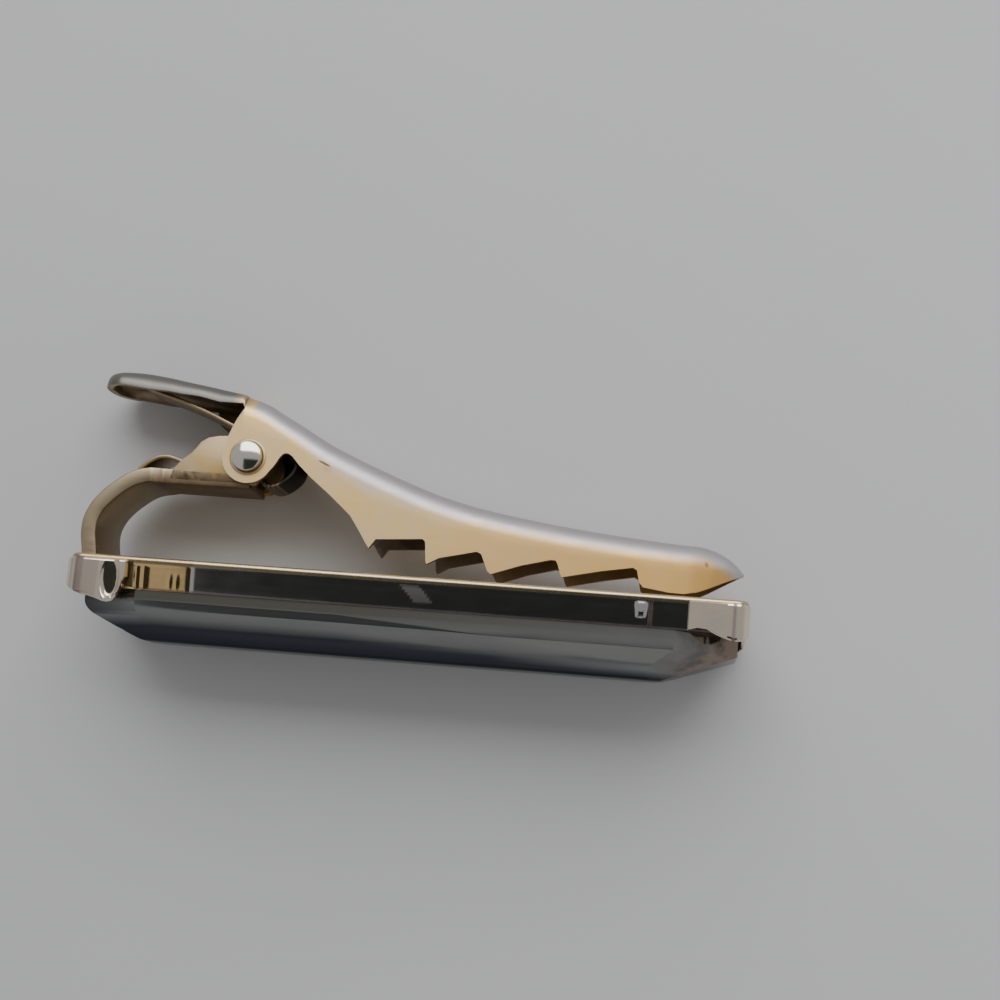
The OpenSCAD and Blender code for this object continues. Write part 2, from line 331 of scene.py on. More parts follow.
def polished_stone():
    """Opaque dark grey stone with a metallic lustre, in darker and paler bands, with painted shade
    on its sides, a painted dark reflection on its lower bevels, and a painted shadow and gold
    reflection at its right end.
    """
    mat, tree, shader = new_material("polished_dark_stone")
    place = add(tree, "ShaderNodeTexCoord").outputs["Object"]
    bands = noise(tree, place, 0.35, 4, 0.6, (0.25, 1, 1))
    flecks = noise(tree, place, 6.0, 3, 0.7)
    tone = mix(tree, ramp(tree, bands, [(0.35, 0.0), (0.7, 1.0)]),
               (0.215, 0.225, 0.220), (0.262, 0.262, 0.260))
    # Painted shade: the stone's sides darker and browner, most to the left
    tone = mix(tree, painted(tree, "painted_side_shade"), tone, (0.145, 0.140, 0.120))
    # A painted dark reflection on the lower bevels and the left corner
    tone = mix(tree, painted(tree, "painted_dark_reflection"), tone, (0.052, 0.054, 0.066))
    smoky = ramp(tree, noise(tree, place, 0.5, 3, 0.6), [(0.42, 0.0), (0.58, 1.0)])
    # The right end painted smoky brown, as the right prong's shadow and gold reflection
    tone = mix(tree, painted(tree, "painted_prong_shadow_and_reflection"), tone,
               mix(tree, smoky, (0.105, 0.078, 0.062), (0.30, 0.225, 0.175)))
    tone = mix(tree, ramp(tree, flecks, [(0.62, 0.0), (0.8, 0.25)]), tone, (0.3, 0.3, 0.31))
    tree.links.new(tone, shader.inputs["Base Color"])
    tree.links.new(ramp(tree, bands, [(0.3, 0.05), (0.75, 0.10)]), shader.inputs["Roughness"])
    relief = add(tree, "ShaderNodeBump", Strength=0.2, Distance=0.0002)
    tree.links.new(noise(tree, place, 0.28, 2, 0.4, (0.3, 1, 1)), relief.inputs["Height"])
    tree.links.new(relief.outputs[0], shader.inputs["Normal"])
    shader.inputs["Metallic"].default_value = 0.86
    shader.inputs["Specular Tint"].default_value = (0.35, 0.35, 0.36, 1)
    return mat


stone_look = polished_stone()

# The lever. Its outlines are places (x, z) seen from the side

THUMB_END, THUMB_ROUND, NOSE_END = -12.15, 1.9, 36.85
OPENING_X, OPENING_Z = -0.7, 3.8    # where the thumb plate's flange meets the ear
LEVER_TOP = [(-12.15, 5.7), (-11.7, 5.92), (-10.7, 6.05), (-9.7, 6.1), (-8.7, 6.1),
             (-7.2, 5.92), (-4.6, 5.48), (-2.7, 5.18), (-0.4, 4.72), (0.9, 4.3), (2.0, 3.7),
             (3.7, 2.8), (6.1, 1.5), (9.2, 0.18), (13.1, -1.28), (16.1, -2.14), (19.1, -2.72),
             (22.7, -3.24), (26.4, -3.65), (29.2, -3.88), (32.1, -4.04), (33.6, -4.04),
             (34.4, -4.16), (35.1, -4.42), (35.8, -4.82), (36.3, -5.2), (36.75, -5.6)]
JAW_LOW = [(36.75, -5.95), (36.3, -6.15), (35.7, -6.45), (34.4, -7.14), (33.6, -7.52),
           (32.6, -7.76), (31.5, -7.76), (29.7, -7.54), (29.4, -7.2), (29.2, -6.36), (28.9, -6.2),
           (26.7, -6.6), (23.9, -7.25), (23.75, -7.05), (23.5, -6.3), (23.35, -6.08),
           (23.0, -6.06), (20.9, -6.62), (18.75, -7.4), (18.5, -7.2), (17.95, -6.0),
           (17.6, -5.85), (14.9, -6.5), (14.05, -7.0), (13.95, -6.8), (13.8, -5.4),
           (13.6, -5.2), (10.15, -5.45), (9.7, -6.12), (9.4, -5.75), (9.05, -5.2),
           (8.1, -3.85), (6.5, -2.48), (4.85, -1.2), (3.85, -0.3), (3.35, 0.25),
           (3.1, 0.42), (2.9, 0.48), (2.65, 0.42), (2.4, 0.15), (2.2, -0.25), (1.95, -0.65)]
EAR_R = 1.95
EAR = ([(EAR_R * math.cos(math.radians(a)), EAR_R * math.sin(math.radians(a)))
        for a in range(-30, -190, -8)]
       + [(-1.78, 0.9), (-1.66, 1.5), (-1.45, 2.1), (-1.15, 2.8), (-0.7, 3.62), (-0.85, 3.68),
          (-1.34, 3.78)])
FLANGE_LOW = [(-2.6, 4.04), (-4.25, 4.38), (-5.73, 4.5), (-6.6, 4.62), (-8.07, 4.7),
              (-8.86, 4.8), (-9.67, 4.9), (-10.48, 4.97), (-11.2, 4.95), (-12.6, 4.9)]
NOSE_PLAN = [(27, 2.9), (29, 2.86), (31, 2.7), (33, 2.3), (34.5, 1.75), (35.6, 1.2),
             (36.3, 0.75), (36.7, 0.4), (36.85, 0.12)]
WALL_LOW = JAW_LOW + [q for q in EAR if q[0] > OPENING_X and q[1] < 0]
LEVER_TOPS = smooth_line(LEVER_TOP, 8).tolist()


def along(x, line):
    """A line's second value at x, from places given from left to right."""
    return float(np.interp(x, [q[0] for q in line], [q[1] for q in line]))


def plan_half(x, inset=0.0):
    """Half the lever's width at x, pulled in by inset: round thumb end, pointed nose."""
    half = LEVER_HALF - inset
    if x < -10.25:
        u = max(0.0, 1 - ((x + 10.25) / (THUMB_ROUND - inset)) ** 2)
        return half * u ** 0.42
    if x > NOSE_PLAN[0][0]:
        return max(along(x, NOSE_PLAN) - inset * 0.9, 0.05)
    return half


def lower_edge(x, line):
    """Height of a lower edge at x, from places given from right to left."""
    return along(x, line[::-1])


def outer_shape(x, low):
    """The lever's half width, top and shoulder radius at x; its top falls off at both ends."""
    w = plan_half(x)
    top = along(x, LEVER_TOPS)
    for end, reach, drop in ((x + 12.17, 0.7, 0.55), (36.86 - x, 0.7, 0.3)):
        if end < reach:
            top -= drop * (1 - math.sqrt(max(0.0, 1 - (1 - end / reach) ** 2)))
    top = max(top, low + 0.25)
    return w, top, min(SHOULDER, w * 0.95, top - low - 0.02)


def lever_ring(x, low):
    """The lever's sheet at x, as one closed section: outer face, then hollow."""
    w, top, r = outer_shape(x, low)

    def half_section(w, top, r):
        side = [(w, low + (top - r - low) * k / 4) for k in range(4)]
        side += [(w - r + r * math.cos(t), top - r + r * math.sin(t))
                 for t in np.linspace(0, math.pi / 2, 12)]
        return side + [((w - r) * 0.5, top)]

    outer = half_section(w, top, r)
    if x < THUMB_END + SHEET or x > NOSE_END - SHEET:
        # Solid at both ends: as many points, in a straight line
        inner = [(w * 0.9 * (1 - k / 16), low) for k in range(17)]
    else:
        w_in, top_in = plan_half(x, SHEET), max(top - SHEET, low + 0.02)
        r_in = min(max(r - SHEET * 0.8, 0.1), w_in * 0.9, top_in - low)
        inner = half_section(w_in, top_in, r_in)
    outer = [(-y, z) for y, z in outer] + [(0, top)] + outer[::-1]
    crest = inner[-1][1]
    inner = inner + [(0, crest)] + [(-y, z) for y, z in inner[::-1]]
    return [(x, y, z) for y, z in outer + inner]


def build_lever():
    """Sections from the thumb plate to the nose, with the low walls from the ears onwards."""
    marks = {round(q[0], 3) for q in WALL_LOW + FLANGE_LOW if -12.1 < q[0] < 36.7}
    marks |= {round(float(x), 3) for x in np.arange(-10.0, 35.5, 0.4)}
    marks |= {round(THUMB_END + 2.1 * (1 - math.cos(t)), 3) for t in np.linspace(0.12, 1.57, 16)}
    marks |= {round(36.84 - 1.4 * t * t, 3) for t in np.linspace(0.0, 1.0, 12)}
    rings = [lever_ring(x, lower_edge(x, FLANGE_LOW)) for x in sorted(marks) if x < OPENING_X]
    rings.append(lever_ring(OPENING_X, OPENING_Z))
    rings.append(lever_ring(OPENING_X, lower_edge(OPENING_X, WALL_LOW)))
    rings += [lever_ring(x, lower_edge(x, WALL_LOW)) for x in sorted(marks) if x > OPENING_X]
    ob = rings_to_mesh("lever", rings)
    # The ears' rear lobes, on both walls
    rear = [q for q in EAR if q[0] <= OPENING_X]
    lobe = [(OPENING_X, lower_edge(OPENING_X, WALL_LOW))] + rear[:-2]
    for side in (-1, 1):
        add_plate(ob, lobe, side * LEVER_HALF, side * (LEVER_HALF - SHEET))
    # A web in the far wall's corner, from the ear to the thumb plate's flange
    web = [(OPENING_X, 4.5), (-4.3, 4.6), (-3.9, 3.3), (-3.1, 2.7), (OPENING_X, 2.2)]
    add_plate(ob, web, LEVER_HALF - 0.02, LEVER_HALF - SHEET + 0.02)
    return shade(ob, 28)


def add_plate(ob, outline, y0, y1):
    """Adds a flat plate with a side outline (x, z) to a mesh."""
    bm = bmesh.new()
    bm.from_mesh(ob.data)
    rows = [[bm.verts.new(lay(x, y, z)) for x, z in outline] for y in (y0, y1)]
    n = len(outline)
    made = [bm.faces.new(rows[0]), bm.faces.new(rows[1][::-1])]
    made += [bm.faces.new((rows[0][i], rows[1][i], rows[1][(i + 1) % n], rows[0][(i + 1) % n]))
             for i in range(n)]
    bmesh.ops.recalc_face_normals(bm, faces=made)
    bm.to_mesh(ob.data)
    bm.free()


lever = build_lever()


def inside(x, y, z):
    """Whether a place is on the lever's inner faces, deeper than half its sheet."""
    w, top, r = outer_shape(x, lower_edge(x, FLANGE_LOW if x < OPENING_X else WALL_LOW))
    dy, dz = abs(y) - (w - r), z - (top - r)
    depth = w - abs(y) if dz < 0 else top - z if dy < 0 else r - math.hypot(dy, dz)
    return depth > SHEET / 2


def lever_tarnish_and_shade(x, y, z):
    """Dark inside, part tarnish and part painted shade, paler at the thumb end and towards the
    nose.
    """
    if not inside(x, y, z):
        return 0.0
    return float(np.interp(x, [-12, -8.5, -6, 13, 19, 30], [0.9, 0.9, 1.0, 1.0, 0.75, 0.5]))


def lever_worn(x, y, z):
    """The plating worn pale along the top of the walls."""
    if x < 0:
        return 0.0
    reach = float(np.interp(x, [0, 8, 20, 36], [1.5, 2.1, 1.65, 1.5]))
    return (reach - (along(x, LEVER_TOPS) - z)) / 0.7


# Painted shade, with tarnish, darkens the lever's inner faces
paint(lever, "tarnish_shade_and_reflection", lever_tarnish_and_shade)
paint(lever, "worn", lever_worn)
paint(lever, "rich", lambda x, y, z: float(np.interp(x, [4, 12, 22, 34], [0.0, 0.1, 0.5, 0.8])))
paint(lever, "dull", lambda x, y, z: -x / 1.5 if z > 3.9 and not inside(x, y, z) else 0.0)
wear(lever, "lever", lever_metal, "lever")


def lathe(name, profile):
    """Turns a profile of (radius, y) round the hinge's axis."""
    turns = np.linspace(0, 2 * math.pi, 48, endpoint=False)
    return rings_to_mesh(name, [[(r * math.cos(a), y, r * math.sin(a)) for a in turns]
                                for r, y in profile])


# Embossed rings on the ears, round the rivet's heads: radius, and how far out of the wall
EMBOSSED = [(1.12, -0.02), (1.13, 0.05), (1.18, 0.075), (1.26, 0.08), (1.35, 0.05), (1.42, -0.02)]
for side, label in ((-1, "near"), (1, "far")):
    profile = [(r, side * (LEVER_HALF + out)) for r, out in EMBOSSED]
    ring = shade(lathe(f"ear_ring_{label}", profile), 60)
    paint(ring, "tarnish_shade_and_reflection", lambda x, y, z: 0.9 if math.hypot(x, z) < 1.2 else 0.3)
    wear(ring, "lever", lever_metal)


def build_rivet():
    """One pin with a domed head on each side, a part of a ball with a rounded rim."""
    shank, head, inner, ball = 0.7, 1.13, LEVER_HALF + 0.09, 3.6
    crown = inner + 0.62
    rim = crown - (ball - math.sqrt(ball ** 2 - 1.0))
    half = [(shank, 0.0), (shank, inner), (head - 0.06, inner), (head, inner + 0.05),
            (head, rim - 0.14), (1.11, rim - 0.06), (1.07, rim - 0.02)]
    half += [(max(t, 0.01), crown - ball + math.sqrt(ball ** 2 - t * t))
             for t in np.linspace(1.0, 0.0, 12)]
    profile = [(r, -y) for r, y in reversed(half)] + half[1:]
    return shade(lathe("rivet", profile), 40)


rivet = build_rivet()
wear(rivet, "bar", rivet_metal, "rivet")

# Bent strips


def strip(name, line, width, thick, corner, n=8, inward=0.0):
    """A strip of sheet swept along a line in (x, z), with rounded edges and ends.

    width is a number, or a function of the share of the length; inward shifts it off its line.
    """
    path = smooth_line(line, n)
    tangent = np.gradient(path, axis=0)
    tangent /= np.linalg.norm(tangent, axis=1)[:, None]
    widths = width if callable(width) else (lambda t, w=width: w)
    h = thick / 2
    rings = []
    for i, (p, t) in enumerate(zip(path, tangent)):
        normal = np.array([-t[1], t[0]])
        w = widths(i / (len(path) - 1)) / 2
        ring = []
        for cy, cn, first in ((-1, -1, 180), (1, -1, 270), (1, 1, 0), (-1, 1, 90)):
            for a in (first, first + 30, first + 60, first + 90):
                y = cy * (w - corner) + corner * math.cos(math.radians(a))
                o = cn * (h - corner) + corner * math.sin(math.radians(a))
                q = p + normal * (o - inward)
                ring.append((q[0], y, q[1]))
        rings.append(ring)
    tips = []
    for end, inner in ((0, 1), (-1, -2)):
        last = np.array(rings[end])
        centre = last.mean(axis=0)
        out = centre - np.array(rings[inner]).mean(axis=0)
        out = out / np.linalg.norm(out) * corner * 0.6
        tips.append([tuple(q) for q in centre + (last - centre) * 0.9 + out])
    return shade(rings_to_mesh(name, [tips[0]] + rings + [tips[1]]), 50)


STRIP_LINE = [(-11.2, -8.75), (-11.38, -7.7), (-11.6, -6.4), (-11.55, -5.4), (-11.15, -4.4),
              (-10.5, -3.55), (-9.7, -2.8), (-8.8, -2.15), (-7.9, -1.78), (-6.8, -1.62),
              (-5.5, -1.6), (-2.0, -1.6), (0.2, -1.6)]
bracket = strip("bracket_strip", STRIP_LINE,
                lambda t: 5.6 if t < 0.72 else 5.6 - 0.9 * min(1, (t - 0.72) / 0.06), 1.16, 0.12,
                inward=0.12)


def strip_painted_shade(x, y, z):
    """Painted shade: darker under the hinge, and a dark line down the near edge of the inner face.
    """
    flat = x > -7.5
    inner = z < -1.62 if flat else math.hypot(x + 6, z + 6.5) < 5.6 - 0.11 * (z + 6.4)
    if inner and -2.79 < y < -2.70:
        return 0.9
    return min(0.75, max(0.0, (x + 8.5) / 2.5)) if inner else 0.0


# Painted shade on the bracket: under the hinge and down its inner edge
paint(bracket, "tarnish_shade_and_reflection", strip_painted_shade)
wear(bracket, "bar", strip_metal)

# The two lugs that carry the hinge, rounded about it
LUG_R = 1.64
LUG = [(-6.0, -2.0), (-5.85, -1.25), (-5.15, -0.4), (-4.5, 0.15), (-4.15, 0.6), (-3.85, 1.05),
       (-3.3, 1.4), (-2.5, 1.58), (-1.2, 1.64), (0, 1.64)]
LUG += [(LUG_R * math.cos(math.radians(a)), LUG_R * math.sin(math.radians(a)))
        for a in range(80, -50, -10)] + [(0.6, -2.0)]
for side, label in ((-1, "near"), (1, "far")):
    verts = [(x, side * y, z) for y in (1.85, 2.35) for x, z in LUG]
    lug = shade(soften(mesh_object(f"lug_{label}", verts, slab_faces(len(LUG))), 0.08, 2, 50), 40)
    wear(lug, "bar", lug_metal)

# The leaf spring, from under the thumb plate round the rivet to its tail on the bracket
SPRING_LINE = [(-8.9, 5.2), (-7.4, 4.68), (-5.6, 4.1), (-3.6, 3.35), (-1.3, 2.35), (0.2, 1.78),
               (1.6, 1.45), (2.75, 0.95), (3.35, 0.2), (3.3, -0.6), (2.75, -1.3), (2.0, -1.8),
               (1.3, -1.85), (0.85, -1.5), (0.4, -1.05), (-1.5, -1.0), (-3.5, -0.93),
               (-5.0, -0.55), (-6.2, -0.18), (-7.0, -0.18), (-7.7, -0.5), (-8.6, -1.22)]
spring = strip("leaf_spring", SPRING_LINE, 3.5, 0.3, 0.08, 6)


def spring_shade_and_reflections(x, y, z):
    """Black on its bend, tarnish with painted shade, and paler stripes of painted reflection where
    it turns back under the rivet.
    """
    if x < 1.0:
        return 0.0
    return 0.6 + 0.4 * math.cos(x * 19) if x < 2.3 and z < -0.5 else 1.0


# Painted shade on the spring's bend, and painted reflections as its paler stripes
paint(spring, "tarnish_shade_and_reflection", spring_shade_and_reflections)
spring.data.materials.append(spring_metal)
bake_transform(spring)
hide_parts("spring")

# The setting. Its places are measured from its left end and its back, then moved to the hinge

FACE_IN, CORNER_R = 0.2, 0.8    # its face, in from the prongs' outermost, and its corners
BAND_LOW = -2.1                 # the band's lower edge
GOLD_END = 9.3                  # where the gilt left section of its near face ends
DRIP_X = 41.55                  # a drip of solder on its near face
RIM_LOW = -0.25                 # where its rim ends and its face begins


def corner_path(inset, radius, step):
    """Places and outward directions round the setting, from the near left corner."""
    x0, x1, y, r = inset, LEN - inset, WIDTH / 2 - inset, radius
    places = []

    def straight(a, b, out):
        n = max(2, int(np.hypot(b[0] - a[0], b[1] - a[1]) / step))
        for k in range(n):
            t = k / n
            places.append(((a[0] + (b[0] - a[0]) * t, a[1] + (b[1] - a[1]) * t), out))

    def arc(cx, cy, a0):
        for k in range(8):
            a = math.radians(a0 + 90 * k / 8)
            places.append(((cx + r * math.cos(a), cy + r * math.sin(a)),
                           (math.cos(a), math.sin(a))))

    arc(x0 + r, -y + r, 180)
    straight((x0 + r, -y), (x1 - r, -y), (0, -1))
    arc(x1 - r, -y + r, 270)
    straight((x1, -y + r), (x1, y - r), (1, 0))
    arc(x1 - r, y - r, 0)
    straight((x1 - r, y), (x0 + r, y), (0, 1))
    arc(x0 + r, y - r, 90)
    straight((x0, y - r), (x0, -y + r), (-1, 0))
    return places


def bar_place(x, y, z):
    """A place measured from the setting's left end and back, from the hinge instead."""
    return (x - PIVOT_X, y, z - PIVOT_Z)


def band_offset(x, near, z):
    """How far the band's face stands out or in at x and height z."""
    down = clamp(z / BAND_LOW)
    out = 0.03 * math.sin(math.pi * down) - 0.28 * down
    if not near:
        return out
    # It draws in towards its left end, with two ridges, a groove and two small marks
    out -= 0.03 * max(0.0, 9.0 - x)
    for at, wide, high in ((5.2, 0.16, 0.07), (5.75, 0.2, 0.06), (9.2, 0.13, -0.05)):
        out += high * math.exp(-((x - at) / wide) ** 2)
    for at in (7.7, 8.2):
        out += 0.05 * math.exp(-((x - at) / 0.1) ** 2 - ((z + 1.45) / 0.3) ** 2)
    # A drip of solder stands out of the leaning face
    if z > -1.45:
        out += (0.03 - out) * clamp((0.50 + 0.14 * z - abs(x - DRIP_X)) / 0.1)
    return out


# The bead along its rim and its inner side: how far out, and at what height
BEAD = [(0.0, -0.3), (0.03, -0.2), (0.07, -0.1), (0.08, 0.0), (0.06, 0.09), (0.01, 0.17),
        (-0.07, 0.23), (-0.17, 0.25), (-0.28, 0.23), (-0.36, 0.17), (-0.4, 0.08), (-0.4, -0.6),
        (-0.4, -1.4), (-0.4, -2.06), (-0.36, -2.1)]


def build_band():
    """The band round the stone, one section at each place of its outline."""
    rings = []
    for (px, py), (ox, oy) in corner_path(FACE_IN, CORNER_R, 0.1):
        near = py < -WIDTH / 2 + 0.5
        section = [(band_offset(px, near, z) - (0.05 if z < -2.05 else 0), z)
                   for z in np.linspace(BAND_LOW, -0.4, 9)]
        rings.append([bar_place(px + ox * o, py + oy * o, z) for o, z in section + BEAD])
    return shade(rings_to_mesh("band", rings, closed_path=True), 50)


band = build_band()


def band_worn(x, y, z):
    """Bare of gold past its left section, apart from its rim."""
    return (x + PIVOT_X - 8.9) / 0.5 if z + PIVOT_Z < RIM_LOW else 0.0


def band_dull(x, y, z):
    """The rim, and one scuffed patch of the near face."""
    at, deep = x + PIVOT_X, z + PIVOT_Z
    if deep > RIM_LOW:
        return 0.5
    patch = y < 0 and 25.0 < at + (deep + 1.0) * 0.9 < 26.4 and -1.5 < deep < -0.4
    return 0.8 if patch else 0.0


def band_tarnish_and_shadow(x, y, z):
    """Brown along its lower lip and beside the drip; brown beside the left prong too, a painted
    shadow of the prong's raised edge.
    """
    at, deep = x + PIVOT_X, z + PIVOT_Z
    if deep < -1.95:
        return 0.75
    return 0.9 if y < 0 and deep < -0.2 and (4.3 < at < 4.95 or 42.1 < at < 42.4) else 0.0


paint(band, "worn", band_worn)
paint(band, "dull", band_dull)
# The band painted brown at its lip and by the drip, with a painted shadow beside the left prong
paint(band, "tarnish_shade_and_reflection", band_tarnish_and_shadow)
paint(band, "rich", lambda x, y, z: 0.5 if y < 0 and x + PIVOT_X < GOLD_END else 0.0)
wear(band, "bar", band_metal, "setting")

# Back plate, its edge sunk a little into the band
outline = [p for p, _ in corner_path(0.58, 0.4, 4.0)]
verts = [bar_place(x, y, z) for z in (-0.16, -0.64) for x, y in outline]
plate = shade(mesh_object("back_plate", verts, slab_faces(len(outline))), 30)
wear(plate, "bar", strip_metal)

# The prongs' lower edges along the long side, from the end of the bar
PRONG_LEFT = [(0, -2.2), (0.2, -2.25), (0.6, -2.55), (1.2, -2.72), (1.9, -2.85),
              (2.5, -3.0), (2.9, -3.14), (3.3, -3.18), (3.65, -3.08), (3.95, -2.75),
              (4.2, -2.2), (4.4, -1.6), (4.5, -1.3)]
PRONG_RIGHT = [(0, -2.0), (0.25, -2.4), (0.5, -2.6), (1.05, -2.65), (1.75, -2.48),
               (2.2, -2.32), (2.63, -2.15), (3.0, -1.95), (3.6, -1.9), (4.3, -2.1),
               (4.45, -2.12)]


def hollow(x, z):
    """Depth of the oval hollow worn into the near left prong's face."""
    away = math.hypot((x - 3.42) / 0.62, (z + 1.45) / 1.42)
    return (0.085 * (-0.03 - z) + 0.07 * (x - 2.75)) * clamp((1.14 - away) / 0.28)


def build_prong(name, left, near, low, reach_long, reach_short, rise, edge_w):
    """A broad prong that wraps one corner; low gives its lower edge along the long side.

    It stands out by rise, with edges edge_w wide, and is made near left, then mirrored.
    """
    r, face = CORNER_R, -(WIDTH / 2 - FACE_IN)
    straight = reach_short - r
    corner_len = math.pi / 2 * r
    total = straight + corner_len + reach_long - r
    cols, rows = 84, 32
    verts = []
    for i in range(cols + 1):
        s = total * i / cols
        if s < straight:
            x, y, ox, oy = FACE_IN, face + r + (straight - s), -1, 0
        elif s < straight + corner_len:
            a = math.pi + (s - straight) / r
            ox, oy = math.cos(a), math.sin(a)
            x, y = FACE_IN + r + r * ox, face + r + r * oy
        else:
            x, y, ox, oy = FACE_IN + r + (s - straight - corner_len), face, 0, -1
        bottom = low[0][1] if s < straight else along(x, low)
        for k in range(rows + 1):
            z = bottom * k / rows
            out = rise * min(s, total - s, -z, z - bottom, edge_w) / edge_w
            if left and near and oy == -1:
                out -= hollow(x, z)
            for o in (out, -0.06):
                px, py = x + ox * o, y + oy * o
                verts.append(bar_place(px if left else LEN - px, py if near else -py, z))

    def vid(side, i, k):
        return (i * (rows + 1) + k) * 2 + side

    faces = []
    for i in range(cols):
        for k in range(rows):
            for side in (0, 1):
                faces.append((vid(side, i, k), vid(side, i + 1, k), vid(side, i + 1, k + 1),
                              vid(side, i, k + 1)))
    for i in range(cols):
        for k in (0, rows):
            faces.append((vid(0, i, k), vid(0, i + 1, k), vid(1, i + 1, k), vid(1, i, k)))
    for k in range(rows):
        for i in (0, cols):
            faces.append((vid(0, i, k), vid(0, i, k + 1), vid(1, i, k + 1), vid(1, i, k)))
    return shade(mesh_object(name, verts, faces), 60 if left and near else 28)


for left, low, word in ((True, PRONG_LEFT, "hinge"), (False, PRONG_RIGHT, "nose")):
    for near, label in ((True, "near"), (False, "far")):
        form = (4.42, 2.8, 0.32 if near else 0.2, 0.16) if left else (4.1, 2.8, 0.2, 0.1)
        prong = build_prong(f"prong_{word}_{label}", left, near, low, *form)

        def prong_painted_reflection(x, y, z):
            """A painted plum-coloured reflection by the corner, set by distance from the end of the
            bar.
            """
            at = x + PIVOT_X if left else LEN - x - PIVOT_X
            if not left:
                return 0.9 if 1.0 < at < 1.2 else 0.0
            return float(np.interp(at, [0.7, 0.75, 1.3, 1.4, 2.4, 2.5], [0, 0.9, 0.8, 0.3, 0.2, 0]))

        # The prongs get a painted plum-coloured reflection by the corner
        paint(prong, "tarnish_shade_and_reflection", prong_painted_reflection)
        wear(prong, "bar", setting_metal)

# Flat gussets that close the corners between the band and the stone's corner cuts
GUSSET = [(0.5, 0.5), (4.3, 0.5), (4.3, 0.95), (1.6, 2.27), (0.5, 2.27)]
for left, word in ((True, "hinge"), (False, "nose")):
    for side, label in ((1, "near"), (-1, "far")):
        verts = [bar_place(x if left else LEN - x, side * (y - WIDTH / 2), z)
                 for z in (-1.75, -2.05) for x, y in GUSSET]
        flap = mesh_object(f"corner_flap_{word}_{label}", verts, slab_faces(len(GUSSET)))
        flap = shade(soften(flap, 0.08, 3, 30), 50)
        paint(flap, "tarnish_shade_and_reflection", lambda x, y, z: 0.7)
        wear(flap, "bar", strip_metal)

# The stone

STEPS = (0, 1.74, 3.19, 4.0)    # how far in each row of bevels and the table begin
STONE_IN = 0.66                 # its girdle, in from the setting's outermost


def stone_ring(stations):
    """One corner-cut ring of the stone, from its depth in and down at each of four places."""
    x0, x1, half = STONE_IN, LEN - STONE_IN, WIDTH / 2 - STONE_IN
    edge, left, right = [], [], []
    for k, (d, z) in enumerate(stations):
        share = float(np.interp(d, STEPS, [0, 0.66, 1, 1.12]))
        cut = float(np.interp(d, STEPS, [1, 0.62, 0.3, 0.18]))
        ends = (x0 + share * 4.3, x1 - share * 5.4)
        x = (ends[0] + 4.5 * cut, 20.0, 31.0, ends[1] - 4.5 * cut)[k]
        edge.append((x, half - d, z))
        left.append((ends[0], half - d - 2.2 * cut, z))
        right.append((ends[1], half - d - 2.2 * cut, z))
    near = [bar_place(x, -y, z) for x, y, z in edge + right[-1:]]
    far = [bar_place(x, y, z) for x, y, z in right[-1:] + edge[::-1] + left[:1]]
    x, y, z = left[0]
    return near + far + [bar_place(x, -y, z)]


def bent(points, reach):
    """A polyline with its inner corners rounded over the given reaches."""
    p = [Vector(q) for q in points]
    out = [p[0]]
    for i in range(1, len(p) - 1):
        a = p[i] + (p[i - 1] - p[i]).normalized() * reach[i - 1]
        b = p[i] + (p[i + 1] - p[i]).normalized() * reach[i - 1]
        out += [a * (1 - t) ** 2 + p[i] * 2 * t * (1 - t) + b * t * t
                for t in np.linspace(0, 1, 7)]
    return out + [p[-1]]


def build_stone():
    """Step-cut stone: straight sides, two rows of eight bevels, flat table."""
    # Down the long side: how far in from it, and how deep; at four places along it
    levels = list(zip((0, 0) + STEPS, (-0.72, -2.7, -3.5, -4.85, -STONE_DEEP, -STONE_DEEP)))
    profiles = [bent(levels, [0.04, reach, 0.5, 0.55]) for reach in (0.7, 0.66, 0.01, 0.01)]
    return shade(rings_to_mesh("cut_stone", [stone_ring(row) for row in zip(*profiles)]), 15)


stone = build_stone()


def stone_painted_reflection(x, y, z):
    """The lower bevels painted dark as a reflection, narrower and paler to the right, and the left
    corner too.
    """
    deep, at = z + PIVOT_Z, x + PIVOT_X
    start = float(np.interp(at, [20, 31, 44], [-4.2, -4.4, -5.0]))
    band = (start - deep) / 0.35 * float(np.interp(at, [20, 44], [1.0, 0.7]))
    return max(band, 0.75 if at < 1.5 else 0.0)


# The stone's lower bevels get a painted dark reflection
paint(stone, "painted_dark_reflection", stone_painted_reflection)
# Painted shade on the stone's sides, fading to the right
paint(stone, "painted_side_shade", lambda x, y, z: (z + PIVOT_Z + 2.9) / 0.2
      * float(np.interp(x, [10, 28], [1.0, 0.2])))
# A painted shadow and gold reflection of the right prong on the stone's right end
paint(stone, "painted_prong_shadow_and_reflection", lambda x, y, z: (x - 32.0) / 2.5)
wear(stone, "bar", stone_look, "stone")

# Paper, light and camera


